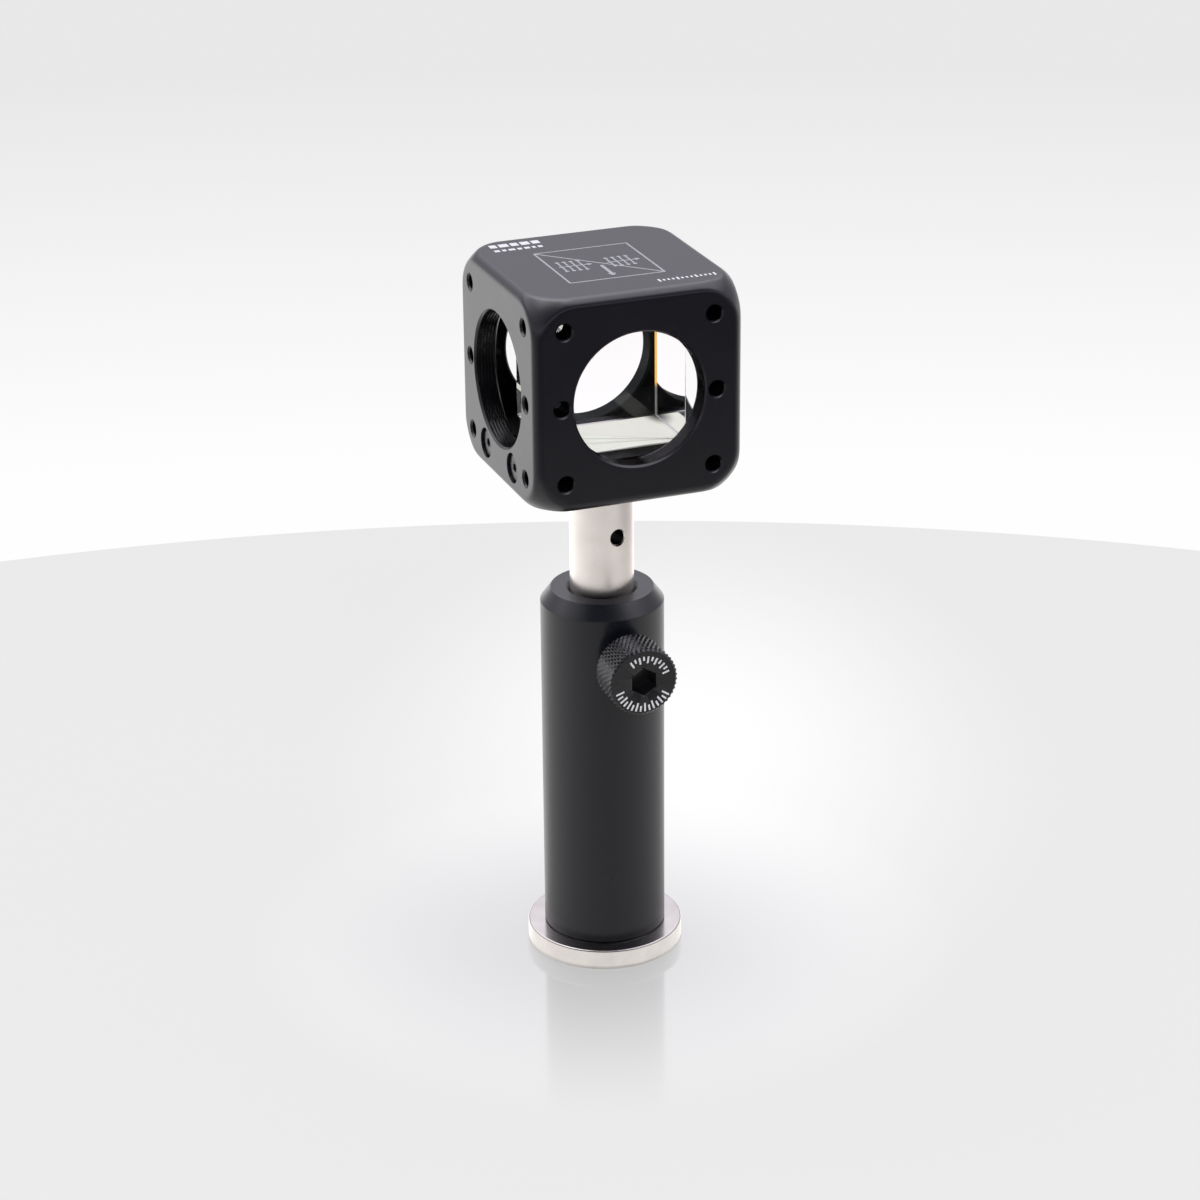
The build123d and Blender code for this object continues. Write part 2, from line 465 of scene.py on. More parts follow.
def clear_material(name):
    material, tree, _ = node_material(name)
    through = add_node(tree, "ShaderNodeBsdfTransparent")
    tree.links.new(through.outputs["BSDF"], tree.nodes["Material Output"].inputs["Surface"])
    return material


def film_material(name, share, colour, through_colour):
    """Half mirror inside the glass: one share is reflected, the rest goes on."""
    material, tree, _ = node_material(name)
    through = add_node(tree, "ShaderNodeBsdfTransparent")
    through.inputs["Color"].default_value = (*through_colour, 1)
    mirror = add_node(tree, "ShaderNodeBsdfGlossy")
    mirror.inputs["Color"].default_value = (*colour, 1)
    mirror.inputs["Roughness"].default_value = 0.0
    surface = shader_mix(tree, share, through.outputs["BSDF"], mirror.outputs["BSDF"])
    tree.links.new(surface, tree.nodes["Material Output"].inputs["Surface"])
    return material


GLASS_IOR = 1.52
BLACK_IOR = 1.9

# Anodised: dark and light tone, roughness, grain across and high in mm, refractive index
CUBE_BLACK = anodised(
    "cube_black", (0.0026, 0.0024, 0.0072), (0.0034, 0.0032, 0.0084), (0.27, 0.31), 0.12, 0.003, BLACK_IOR)
# Painted shade: a darker, weakly reflecting copy of the housing black for the pocket and the small holes
SHADED_BORE_BLACK = anodised(
    "shaded_bore_black", (0.0015, 0.0015, 0.002), (0.0025, 0.0025, 0.003), (0.35, 0.45), 0.12, 0.003, 1.12)
# Painted shade: a weakly reflecting copy of the housing black for the near ports' threaded walls
SHADED_THREAD_BLACK = anodised(
    "shaded_thread_black", (0.002, 0.002, 0.003), (0.003, 0.003, 0.004), (0.18, 0.24), 0.12, 0.002, 1.35)
# Painted teal sheen and painted shade: a teal-tinted, weakly reflecting copy of the housing black for the far
# ports' walls seen through the glass
TEAL_SHEEN_BLACK = anodised(
    "teal_sheen_black", (0.004, 0.009, 0.008), (0.006, 0.014, 0.013), (0.35, 0.45), 0.2, 0.003, 1.18)
HOLDER_BLACK = anodised(
    "holder_black", (0.0046, 0.0062, 0.0100), (0.0054, 0.0070, 0.0112), (0.25, 0.28), 0.10, 0.0008, BLACK_IOR)
PLATE_BLACK = anodised(
    "plate_black", (0.002, 0.0025, 0.003), (0.004, 0.0045, 0.005), (0.4, 0.5), 0.15, 0.004, 1.2)
SCREW_BLACK = anodised(
    "screw_black", (0.0075, 0.007, 0.008), (0.010, 0.0095, 0.0105), (0.28, 0.36), 0.2, 0.003, BLACK_IOR)
KNOB_BLACK = anodised(
    "knob_black", (0.005, 0.0055, 0.007), (0.008, 0.0085, 0.010), (0.24, 0.32), 0.2, 0.002, BLACK_IOR)

# Steel: dark and light tone, roughness, turned lines across and high in mm
STEEL = stainless(
    "satin_steel", (0.65, 0.605, 0.57), (0.735, 0.69, 0.655), (0.30, 0.34), 0.08, 0.0004)
FLANGE_STEEL = stainless(
    "flange_steel", (0.58, 0.545, 0.515), (0.68, 0.645, 0.615), (0.16, 0.22), 0.12, 0.0003)
# Painted shade: a dark copy of the post's steel for the walls of its holes
SHADED_BORE_STEEL = stainless(
    "shaded_bore_steel", (0.05, 0.05, 0.05), (0.12, 0.11, 0.1), (0.3, 0.4), 0.2, 0.002)
THREAD_STEEL = stainless(
    "thread_steel", (0.4, 0.39, 0.38), (0.6, 0.59, 0.57), (0.25, 0.4), 0.2, 0.002)

# Glass and what is on it
GLOW_CHANGE_HEIGHT = CUBE_CENTRE.z - 6.4 * MM
GLASS = glass_material("prism_glass")
GROUND_GLASS = glass_material("ground_glass", (0.9, 0.93, 0.92), 0.35)
# Painted light: the upright back-right bevels of the glass glow amber above a height and grey below it
GLOWING_EDGE = painted_glow_line("painted_edge_glow", (1.0, 0.60, 0.12), (0.16, 0.165, 0.15), GLOW_CHANGE_HEIGHT, 0.85)
CEMENTED = clear_material("cemented_face")
FILM = film_material("half_mirror", 0.003, (0.96, 0.93, 0.88), (1.0, 0.985, 0.995))
PAD = speckled("adhesive_white", (0.62, 0.64, 0.58), 1.5, 0.92, ADHESIVE_ROUGHNESS)
GLOWING_WETTED_GLASS = glowing_wetted_glass(
    "glowing_wetted_glass", (0.88, 0.90, 0.82), (0.10, 0.11, 0.10), 0.8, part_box("back_prism")[1])
WHITE_INK = speckled("white_ink", (0.85, 0.85, 0.86), 0.25, 0.8, 0.5)
GREY_INK = speckled("grey_ink", (0.42, 0.43, 0.44), 0.25, 0.8, 0.5)
PIN_WHITE = speckled("pin_acetal", (0.8, 0.79, 0.74), 0.25, 0.8, 0.4)


# Cube housing

def housing_distance(points):
    """Signed distance to the rounded cube whose corners are turned to a ball."""
    inner = np.abs(points) - (HALF - EDGE_ROUND)
    box = np.linalg.norm(np.maximum(inner, 0), axis=1) + np.minimum(inner.max(axis=1), 0) - EDGE_ROUND
    reach = CORNER_INSET - EDGE_ROUND * (1 - math.sqrt(0.5))
    ball_r = reach * math.sqrt(2) + BALL_MARGIN
    corner = np.maximum(np.abs(points) - (HALF - CORNER_INSET), 0)
    ball = np.linalg.norm(corner, axis=1) - ball_r
    overlap = np.maximum(EDGE_BLEND - np.abs(box - ball), 0) / EDGE_BLEND
    return np.maximum(box, ball) + overlap**2 * EDGE_BLEND / 4


# Mesh lines across half a face: few on the flat middle, many at the edge
STATIONS_MM = [0, 4, 8, 11] + [11.5 + 0.5 * k for k in range(15)] + [18.8 + 0.22 * k for k in range(10)]
STATIONS = [v * MM for v in STATIONS_MM] + [HALF]
RAY_REACH = 1.2
RAY_HALVINGS = 40


def rounded_block(name):
    """The outside of the housing, drawn along rays from its centre."""
    lines = [-v for v in reversed(STATIONS[1:])] + STATIONS
    last = len(lines) - 1
    index = {}
    points = []

    def vertex(key):
        if key not in index:
            index[key] = len(points)
            points.append([lines[k] for k in key])
        return index[key]

    faces = []
    for axis in range(3):
        for side in (0, last):
            for i in range(last):
                for j in range(last):
                    corners = []
                    for di, dj in ((0, 0), (1, 0), (1, 1), (0, 1)):
                        key = [i + di, j + dj]
                        key.insert(axis, side)
                        corners.append(vertex(tuple(key)))
                    faces.append(corners)
    rays = np.array(points)
    near = np.zeros(len(rays))
    far = np.full(len(rays), RAY_REACH)
    for _ in range(RAY_HALVINGS):
        middle = (near + far) / 2
        inside = housing_distance(rays * middle[:, None]) < 0
        near = np.where(inside, middle, near)
        far = np.where(inside, far, middle)
    obj = new_object(name, rays * near[:, None], faces)
    outward(obj)
    return obj


def threaded_cutter(name, radius, depth, mouth_r, mouth_depth, thread, pitch, count, inner=0):
    """Tool for a threaded hole down from Z = 0, chamfered at its mouth and by inner at its far end."""
    step = pitch / 4
    height = -depth
    profile = []
    if inner:
        profile += [(radius + inner + OVERSHOOT, -depth - OVERSHOOT), (radius, -depth + inner)]
        height = -depth + inner + step
    while height < -mouth_depth - step / 2:
        profile.append((thread_radius(radius, height, thread, pitch), height))
        height += step
    flare = (mouth_r - radius) / mouth_depth
    profile += [(radius, -mouth_depth), (mouth_r, 0), (mouth_r + flare * OVERSHOOT, OVERSHOOT)]
    return turned(name, profile, count)


def face_matrix(face, across, height):
    """Frame on a side of the cube with Z out of the face and X across it."""
    turn = rotation_about_z(FACE_TURNS[face])
    local = Matrix.Translation((across, -HALF, height)) @ Matrix.Rotation(math.pi / 2, 4, "X")
    return turn @ local


def face_cutters(face):
    """Tools for the port, the four cage holes and the two side holes of one side."""
    port = threaded_cutter(
        "port", PORT_R + PORT_THREAD / 2, WALL, PORT_R + PORT_CHAMFER, PORT_CHAMFER,
        PORT_THREAD, PORT_PITCH, PORT_POINTS, PORT_INNER_CHAMFER)
    tools = [place(port, face_matrix(face, 0, 0))]
    spots = [(a * CAGE_HALF, b * CAGE_HALF) for a in (-1, 1) for b in (-1, 1)]
    for across, height in spots + [(-SIDE_HALF, 0), (SIDE_HALF, 0)]:
        hole = threaded_cutter(
            "hole", CAGE_HOLE_R + HOLE_THREAD / 2, CAGE_HOLE_DEPTH, COUNTERSINK_R, COUNTERSINK_DEPTH,
            HOLE_THREAD, HOLE_PITCH, HOLE_POINTS)
        tools.append(place(hole, face_matrix(face, across, height)))
    return tools


SCREW_NODES = (
    "side_screw_left_front", "side_screw_left_back", "side_screw_right_front", "side_screw_right_back",
)
SCREW_RECESS_GAP = 0.2 * MM
SCREW_RECESS_EDGE = 0.08 * MM
SCREW_HEAD_H = 3.0 * MM
SCREW_HEAD_EDGE = 0.4 * MM
SCREW_SHANK_R = 1.5 * MM
SCREW_SOCKET = 0.75 * MM
SCREW_SOCKET_MOUTH_R = 0.9 * MM
SCREW_SOCKET_CHAMFER = 0.06 * MM
SCREW_SOCKET_DEPTH = 1.6 * MM
SCREW_POINTS = 48


def screw_frame(node):
    """Frame of a side screw, Z out of the face from a point on it; then its head's radius and top."""
    low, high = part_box(node)
    middle = (low + high) / 2 - CUBE_CENTRE
    face = "left" if middle.x < 0 else "right"
    across = -middle.y if face == "left" else middle.y
    top = max(-low.x, high.x) - HALF
    return face_matrix(face, across, middle.z), (high.y - low.y) / 2, top


def recess_cutters():
    tools = []
    edge = SCREW_RECESS_EDGE
    for node in SCREW_NODES:
        matrix, head_r, top = screw_frame(node)
        r = head_r + SCREW_RECESS_GAP
        profile = [(r, top - SCREW_HEAD_H), (r, -edge), (r + edge, 0), (r + edge + OVERSHOOT, OVERSHOOT)]
        tools.append(place(turned("recess", profile, SMALL_ROUND), matrix))
    return tools


def rounded_square_ring(half, radius, height):
    ring = []
    for corner in range(4):
        centre = Matrix.Rotation(math.radians(90 * corner), 2) @ Vector((half - radius, half - radius))
        for k in range(POCKET_CORNER_STEPS + 1):
            angle = math.radians(90 * corner + 90 * k / POCKET_CORNER_STEPS)
            ring.append((centre.x + radius * math.cos(angle), centre.y + radius * math.sin(angle), height))
    return ring


# In the order that wall_kind counts them; the last three are copies of the housing black with painted shade
HOUSING_MATERIALS = (CUBE_BLACK, SHADED_BORE_BLACK, TEAL_SHEEN_BLACK, SHADED_THREAD_BLACK)
POCKET_MARGIN = 0.01 * MM
HOLE_MARGIN = 0.2 * MM
PORT_MARGIN = 0.3 * MM


def wall_kind(point):
    """0 outside, 1 in the pocket and the small holes, 2 on the far ports' walls, 3 on the near ones; 1 to 3
    take painted shade.
    """
    sizes = sorted((abs(point.x), abs(point.y), abs(point.z)))
    if sizes[2] < HALF - WALL + POCKET_MARGIN:
        return 1
    from_cage = math.hypot(sizes[0] - CAGE_HALF, sizes[1] - CAGE_HALF)
    from_side = math.hypot(sizes[0], sizes[1] - SIDE_HALF)
    if min(from_cage, from_side) < CAGE_HOLE_R + HOLE_MARGIN and sizes[2] < HALF - COUNTERSINK_DEPTH:
        return 1
    if math.hypot(sizes[0], sizes[1]) > PORT_R + PORT_MARGIN or sizes[2] > HALF - PORT_CHAMFER:
        return 0
    return 2 if max(point.x, point.y) == sizes[2] else 3


def cube_housing():
    block = rounded_block("cube_shell")
    ends = (-HALF - OVERSHOOT, HALF - WALL)
    boolean(block, loft("pocket", [rounded_square_ring(HALF - WALL, POCKET_CORNER_R, z) for z in ends]))
    boolean(block, join(face_cutters("front") + face_cutters("back"), "front_back_tools"))
    boolean(block, join(face_cutters("left") + face_cutters("right") + recess_cutters(), "side_tools"))
    kinds = [wall_kind(face.center) for face in block.data.polygons]
    place(block, Matrix.Translation(CUBE_CENTRE))
    smooth(block)
    dress(block, CUBE_BLACK, "head", "cube_anodised", "cube_housing")
    for material in HOUSING_MATERIALS[1:]:
        block.data.materials.append(material)
    for face, kind in zip(block.data.polygons, kinds):
        face.material_index = kind
    return block


def side_screw(node):
    """Cap screw with a soft-edged head and a chamfered socket."""
    matrix, head_r, top = screw_frame(node)
    low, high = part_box(node)
    hexagon = hex_radius(SCREW_SOCKET)
    seat = top - SCREW_HEAD_H
    profile = [
        (hexagon, top - SCREW_SOCKET_DEPTH), (hexagon, top - SCREW_SOCKET_CHAMFER),
        (SCREW_SOCKET_MOUTH_R, top), (head_r - SCREW_HEAD_EDGE, top), (head_r - 0.1 * MM, top - 0.12 * MM),
        (head_r, top - SCREW_HEAD_EDGE), (head_r, seat),
        (SCREW_SHANK_R, seat), (SCREW_SHANK_R, top - (high.x - low.x)),
    ]
    screw = turned(node + "_detail", profile, SCREW_POINTS)
    place(screw, Matrix.Translation(CUBE_CENTRE) @ matrix)
    smooth(screw)
    return dress(screw, SCREW_BLACK, "head", "screw_black", node)


# Glass

FILM_GAP = 0.03 * MM
GLASS_BEVEL = 0.24 * MM
PAD_GAP = 0.02 * MM
DOWNWARD = -0.99
PRISM_MATERIALS = (GLASS, GROUND_GLASS, CEMENTED, GLOWING_EDGE, GLOWING_WETTED_GLASS)
LONG_FACE = PRISM_MATERIALS.index(CEMENTED)
BOTTOM_FACE = PRISM_MATERIALS.index(GLOWING_WETTED_GLASS)
GLOWING_BEVEL = PRISM_MATERIALS.index(GLOWING_EDGE)
PLAIN_BEVEL = PRISM_MATERIALS.index(GROUND_GLASS)


def prism(name, node, sign):
    """Half of the glass cube; its long face is clear, because cement joins it to the other half."""
    low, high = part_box(node)
    half = (high.z - low.z) / 2
    bm = bmesh.new()
    bmesh.ops.create_cube(bm, size=2 * half)
    bmesh.ops.bevel(bm, geom=bm.edges[:], offset=GLASS_BEVEL, segments=1, affect="EDGES")
    for vert in bm.verts:
        if vert.co.z < -half + GLASS_BEVEL / 2:
            vert.co.z += PAD_GAP
    normal = Vector((sign, sign, 0)).normalized()
    cut = bmesh.ops.bisect_plane(
        bm, geom=bm.verts[:] + bm.edges[:] + bm.faces[:],
        plane_co=normal * FILM_GAP, plane_no=normal, clear_inner=True)
    rim = [e for e in cut["geom_cut"] if isinstance(e, bmesh.types.BMEdge)]
    bmesh.ops.contextual_create(bm, geom=rim)
    bmesh.ops.recalc_face_normals(bm, faces=bm.faces)
    for face in bm.faces:
        middle = face.calc_center_median()
        if abs(middle.dot(normal)) < 2 * FILM_GAP:
            face.material_index = LONG_FACE
        elif face.normal.z < DOWNWARD:
            face.material_index = BOTTOM_FACE
        # Small bevels: the upright back-right ones take the painted glow, the rest are ground glass
        elif face.calc_area() < (2 * GLASS_BEVEL) * 2 * half:
            upright_back_right = min(middle.x, middle.y) > half - 2 * GLASS_BEVEL
            face.material_index = GLOWING_BEVEL if upright_back_right else PLAIN_BEVEL
    mesh = bpy.data.meshes.new(name)
    bm.to_mesh(mesh)
    bm.free()
    obj = add_object(name, mesh)
    place(obj, Matrix.Translation(CUBE_CENTRE))
    for material in PRISM_MATERIALS:
        obj.data.materials.append(material)
    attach(obj, "head")
    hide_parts(node)
    return obj


# Thumbscrew

KNURL_TEETH = 44
KNURL_DEPTH = 0.34 * MM
KNURL_SLANT = 1.6
KNURL_RINGS = 44
KNURL_POINTS = KNURL_TEETH * 8
KNOB_BEVEL = 0.35 * MM
KNOB_RIM = 0.25 * MM
KNOB_HEX = 2.5 * MM
KNOB_HEX_DEPTH = 4.0 * MM
KNOB_HEX_MOUTH_R = 3.05 * MM
KNOB_HEX_CHAMFER = 0.2 * MM
KNOB_WEB = 0.95 * MM
KNOB_BORE_R = 2.55 * MM


def knurl_radius(radius, along, lead):
    """Radius of a diamond knurl: two sets of grooves wound in opposite ways."""
    def at(angle):
        turns = KNURL_TEETH * angle / (2 * math.pi)
        ridge = min(triangle_wave(turns + along / lead), triangle_wave(turns - along / lead))
        return radius - KNURL_DEPTH * (1 - ridge)
    return at


def lock_matrix(along_y):
    """Frame of the thumbscrew with Z outward along -Y."""
    low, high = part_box("thumbscrew_knob")
    middle = (low + high) / 2
    return Matrix.Translation((middle.x, along_y, middle.z)) @ Matrix.Rotation(math.pi / 2, 4, "X")


def thumbscrew_knob():
    low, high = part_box("thumbscrew_knob")
    r = (high.x - low.x) / 2
    length = high.y - low.y
    hexagon = hex_radius(KNOB_HEX)
    lead = 2 * math.pi * r / KNURL_TEETH * KNURL_SLANT
    rim = r - KNOB_BEVEL - KNOB_RIM
    profile = [
        (hexagon, length - KNOB_HEX_DEPTH), (hexagon, length - KNOB_HEX_CHAMFER),
        (KNOB_HEX_MOUTH_R, length), (rim, length),
    ]
    for k in range(KNURL_RINGS + 1):
        z = length - KNOB_BEVEL - (length - 2 * KNOB_BEVEL) * k / KNURL_RINGS
        profile.append((knurl_radius(r, z, lead), z))
    profile += [(rim, 0), (KNOB_BORE_R, 0), (KNOB_BORE_R, length - KNOB_HEX_DEPTH - KNOB_WEB)]
    knob = turned("knob_knurled", profile, KNURL_POINTS)
    place(knob, lock_matrix(high.y))
    smooth(knob, KNURL_SHARP_ANGLE)
    dress(knob, KNOB_BLACK, "lock_knob", "knob_black", "thumbscrew_knob")
    return r, low.y


SHANK_PITCH = 1.0 * MM
SHANK_THREAD = 0.55 * MM
SHANK_NECK_R = 2.5 * MM
SHANK_BORE_R = 1.6 * MM
SHANK_BORE_DEPTH = 6.6 * MM
NOSE_R = 1.08 * MM
NOSE_LENGTH = 0.6 * MM
NOSE_BEVEL = (0.6 * MM, 0.35 * MM)
THREAD_START = 0.75 * MM
THREAD_RUNOUT = 0.1 * MM


def thumbscrew_shank():
    """Threaded screw, hollow at its nose for the sprung tip, with a plain neck in the knob."""
    low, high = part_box("thumbscrew_shank")
    r = (high.x - low.x) / 2
    length = high.y - low.y
    shoulder = high.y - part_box("thumbscrew_knob")[1].y
    axis_r = 0.05 * MM
    profile = [(NOSE_R, 0), (r - NOSE_BEVEL[0], 0), (r - NOSE_BEVEL[1], NOSE_LENGTH)]
    z = THREAD_START
    while z < shoulder - THREAD_RUNOUT:
        profile.append((thread_radius(r, z, SHANK_THREAD, SHANK_PITCH), z))
        z += SHANK_PITCH / 8
    profile += [
        (SHANK_NECK_R, shoulder + 0.05 * MM), (SHANK_NECK_R, length), (axis_r, length),
        (axis_r, SHANK_BORE_DEPTH), (SHANK_BORE_R, SHANK_BORE_DEPTH), (SHANK_BORE_R, NOSE_LENGTH),
        (NOSE_R, NOSE_LENGTH),
    ]
    shank = turned("shank_threaded", profile, SCREW_POINTS, joined=True)
    place(shank, lock_matrix(high.y))
    smooth(shank)
    dress(shank, THREAD_STEEL, "lock_shank", "steel_screw", "thumbscrew_shank")


SPRING_WIRE_R = 0.175 * MM
SPRING_TURNS = 4
SPRING_STEPS = SPRING_TURNS * 20
SPRING_SIDES = 8


def plunger_spring():
    """The small spring behind the tip, wound as a coil of wire."""
    low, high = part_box("plunger_spring")
    middle = (low + high) / 2
    span = high.y - low.y
    reach = (high.x - low.x) / 2 - SPRING_WIRE_R
    rings = []
    for k in range(SPRING_STEPS + 1):
        turn = 2 * math.pi * SPRING_TURNS * k / SPRING_STEPS
        away = Vector((math.cos(turn), 0, math.sin(turn)))
        along = high.y - SPRING_WIRE_R - (span - 2 * SPRING_WIRE_R) * k / SPRING_STEPS
        spot = Vector((middle.x, along, middle.z)) + reach * away
        rings.append([spot + SPRING_WIRE_R * (math.cos(a) * away + math.sin(a) * Vector((0, 1, 0)))
                      for a in (2 * math.pi * n / SPRING_SIDES for n in range(SPRING_SIDES))])
    coil = loft("plunger_coil", rings)
    smooth(coil)
    dress(coil, THREAD_STEEL, "lock_shank", "spring_wire", "plunger_spring")
    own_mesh(coil)


# Holder, post and pedestal

HOLDER_BORE_R = 6.4 * MM
HOLDER_MOUTH = 0.8 * MM
HOLDER_FLOOR = 8.0 * MM
HOLDER_FOOT_R = 3.05 * MM
HOLDER_FOOT_CHAMFER = 0.3 * MM
HOLDER_BEVEL_R = 2.1 * MM
HOLDER_BEVEL_H = 2.75 * MM
LOCK_HOLE_R = 3.35 * MM
LOCK_HOLE_CHAMFER = 0.45 * MM
LOCK_HOLE_END = (5.0 * MM, 1.2 * MM)
SOFT = 0.05 * MM


def holder():
    """Tube with a bevelled top and a side hole for the thumbscrew; the top edges are broken by SOFT."""
    low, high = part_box("post_holder")
    r = (high.x - low.x) / 2
    edge_z = high.z - HOLDER_BEVEL_H
    top_r = r - HOLDER_BEVEL_R
    mouth_r = HOLDER_BORE_R + HOLDER_MOUTH
    floor_z = low.z + HOLDER_FLOOR
    profile = [
        (HOLDER_FOOT_R, low.z), (r - HOLDER_FOOT_CHAMFER, low.z), (r, low.z + HOLDER_FOOT_CHAMFER),
        (r, edge_z - SOFT), (r - 0.06 * MM, edge_z + SOFT), (top_r + SOFT, high.z - SOFT),
        (top_r - SOFT, high.z), (mouth_r + SOFT, high.z), (mouth_r - SOFT, high.z - SOFT),
        (HOLDER_BORE_R, high.z - HOLDER_MOUTH), (HOLDER_BORE_R, floor_z), (HOLDER_FOOT_R, floor_z),
    ]
    body = turned("holder_body", profile, ROUND, joined=True)
    hole_profile = [
        (LOCK_HOLE_R, 0), (LOCK_HOLE_R, r - LOCK_HOLE_CHAMFER), (LOCK_HOLE_R + LOCK_HOLE_CHAMFER, r),
        (LOCK_HOLE_END[0], r + LOCK_HOLE_END[1]),
    ]
    hole = turned("lock_hole", hole_profile, SMALL_ROUND)
    spot = Matrix.Translation((0, 0, lock_matrix(0).translation.z))
    place(hole, spot @ Matrix.Rotation(math.pi / 2, 4, "X"))
    boolean(body, hole)
    smooth(body)
    dress(body, HOLDER_BLACK, "stand", "holder_anodised", "post_holder")


POST_EDGE = 0.8 * MM
POST_THREAD_R = 3.0 * MM
POST_THREAD_DEPTH = 12.0 * MM
STUD_BORE_R = 2.05 * MM
STUD_BORE_DEPTH = 6.75 * MM
CROSS_FLARE = 0.25 * MM
CROSS_EDGE = 0.2 * MM
CROSS_OVERSHOOT = 0.5 * MM


def post():
    """Post with chamfered ends, a bore at each end and a flared cross hole."""
    low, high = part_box("optical_post")
    r = (high.x - low.x) / 2
    axis_r = 0.02 * MM
    thread_end, bore_end = low.z + POST_THREAD_DEPTH, high.z - STUD_BORE_DEPTH
    profile = [
        (axis_r, thread_end), (POST_THREAD_R, thread_end), (POST_THREAD_R, low.z), (r - POST_EDGE, low.z),
        (r, low.z + POST_EDGE), (r, high.z - POST_EDGE), (r - POST_EDGE, high.z),
        (STUD_BORE_R, high.z), (STUD_BORE_R, bore_end), (axis_r, bore_end),
    ]
    rod = turned("post_rod", profile, ROUND)
    spot = mounts["post_cross_hole"]
    hole_r = spot["dims"]["r_mm"] * MM
    wide = hole_r + CROSS_FLARE + CROSS_OVERSHOOT
    reach = r + CROSS_OVERSHOOT
    side = math.sqrt(r * r - hole_r * hole_r) - CROSS_EDGE
    flared = [(wide, -reach), (hole_r, -side), (hole_r, side), (wide, reach)]
    tool = turned("cross_tool", flared, SMALL_ROUND)
    axis = Vector(spot["axis"]).to_track_quat("Z", "Y").to_matrix().to_4x4()
    place(tool, Matrix.Translation(spot["pos_m"]) @ axis)
    boolean(rod, tool)
    smooth(rod)
    dress(rod, STEEL, "post", "stainless", "optical_post")
    # The walls of the post's holes take the dark steel: painted shade
    rod.data.materials.append(SHADED_BORE_STEEL)
    for face in rod.data.polygons:
        middle = face.center
        inside = math.hypot(middle.x, middle.y) < r - CROSS_FLARE
        if inside and low.z + POST_EDGE < middle.z < high.z - POST_EDGE:
            face.material_index = 1
    return rod


FLANGE_EDGE = 0.4 * MM
SINK_R = 5.95 * MM
SINK_HOLE_R = 3.05 * MM


def pedestal():
    """Round flange with rounded edges and a countersunk hole below."""
    low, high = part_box("pedestal_base")
    r = (high.x - low.x) / 2
    edge = FLANGE_EDGE
    flat_r = r - edge
    profile = [(SINK_R, low.z), (flat_r, low.z)]
    for a in np.radians([30, 60, 90]):
        profile.append((flat_r + edge * math.sin(a), low.z + edge - edge * math.cos(a)))
    for a in np.radians([0, 30, 60, 90]):
        profile.append((flat_r + edge * math.cos(a), high.z - edge + edge * math.sin(a)))
    profile += [(SINK_HOLE_R, high.z), (SINK_HOLE_R, low.z + SINK_R - SINK_HOLE_R)]
    disc = turned("pedestal_disc", profile, LARGE_ROUND, joined=True)
    smooth(disc)
    return dress(disc, FLANGE_STEEL, "stand", "stainless", "pedestal_base")


# Marks: plain strokes in place of all lettering

MARK_T = 0.03 * MM
ARROW_ANGLE = 30


def stroke(start, end, width):
    """Thin bar from one point to another on the plane Z = 0."""
    a, b = Vector((*start, 0)), Vector((*end, 0))
    along = (b - a).normalized()
    side = Vector((-along.y, along.x, 0)) * width / 2
    ring = [a - side, b - side, b + side, a + side]
    top = [p + Vector((0, 0, MARK_T)) for p in ring]
    bottom = [p - Vector((0, 0, MARK_T)) for p in ring]
    return loft("stroke", [bottom, top])


def arrow_ends(start, end, size, width):
    """Open arrow head at the end of a stroke."""
    a, b = Vector(start), Vector(end)
    back = (a - b).normalized() * size
    strokes = []
    for turn in (-ARROW_ANGLE, ARROW_ANGLE):
        tip = b + (Matrix.Rotation(math.radians(turn), 2) @ back)
        strokes.append(stroke(b, tip, width))
    return strokes


def marks(name, strokes, matrix, material, body):
    """Strokes that cross, joined into one closed skin and laid on a face."""
    base = strokes[0]
    for other in strokes[1:]:
        boolean(base, other, "UNION")
    base.name = name
    place(base, matrix)
    return dress(base, material, body, "adhesive")


def marks_apart(name, strokes, matrix, material, body):
    """Strokes that do not touch, laid on a face as one piece."""
    obj = join(strokes, name)
    place(obj, matrix)
    return dress(obj, material, body, "adhesive")


def scaled(*points):
    return [(x * MM, y * MM) for x, y in points]


# Top of the cube, in mm from its middle
OUTLINE = scaled((-10.0, -11.0), (9.0, -11.0), (9.0, 8.9), (-10.0, 8.9))
LINE = 0.4 * MM
FINE_LINE = 0.36 * MM
BOLD_LINE = 0.7 * MM
# Middle and half height of each sign: an arrow across and four double arrows up it
SIGNS = ((-5.6, -1.1, 3.2), (4.0, -1.5, 3.0))
SIGN_ARROW = (-3.0, 3.6)
SIGN_ROWS = [-0.3 + 1.35 * k for k in (-1.5, -0.5, 0.5, 1.5)]
LARGE_HEAD, HEAD, SMALL_HEAD = 1.3 * MM, 1.0 * MM, 0.7 * MM
BEAM = scaled((-0.6, -2.6), (-0.6, -9.2))
# Place up the face, thickness, left end, and the length of each bar
BARS = (
    (16.3, 1.9, -16.4, (1.4, 1.9, 1.5, 1.8, 1.6)),
    (13.3, 1.1, -16.4, (1.1, 0.8, 1.3, 0.9, 1.1, 0.7, 0.9)),
)
BAR_GAP = 0.5
SCALE_START = (6.0, -15.7)
SCALE_STEP = 0.93
SCALE_TICKS = 13
SCALE_TICK = 0.42 * MM
LONG_TICK, SHORT_TICK, LONG_EVERY = 0.75, 0.45, 4


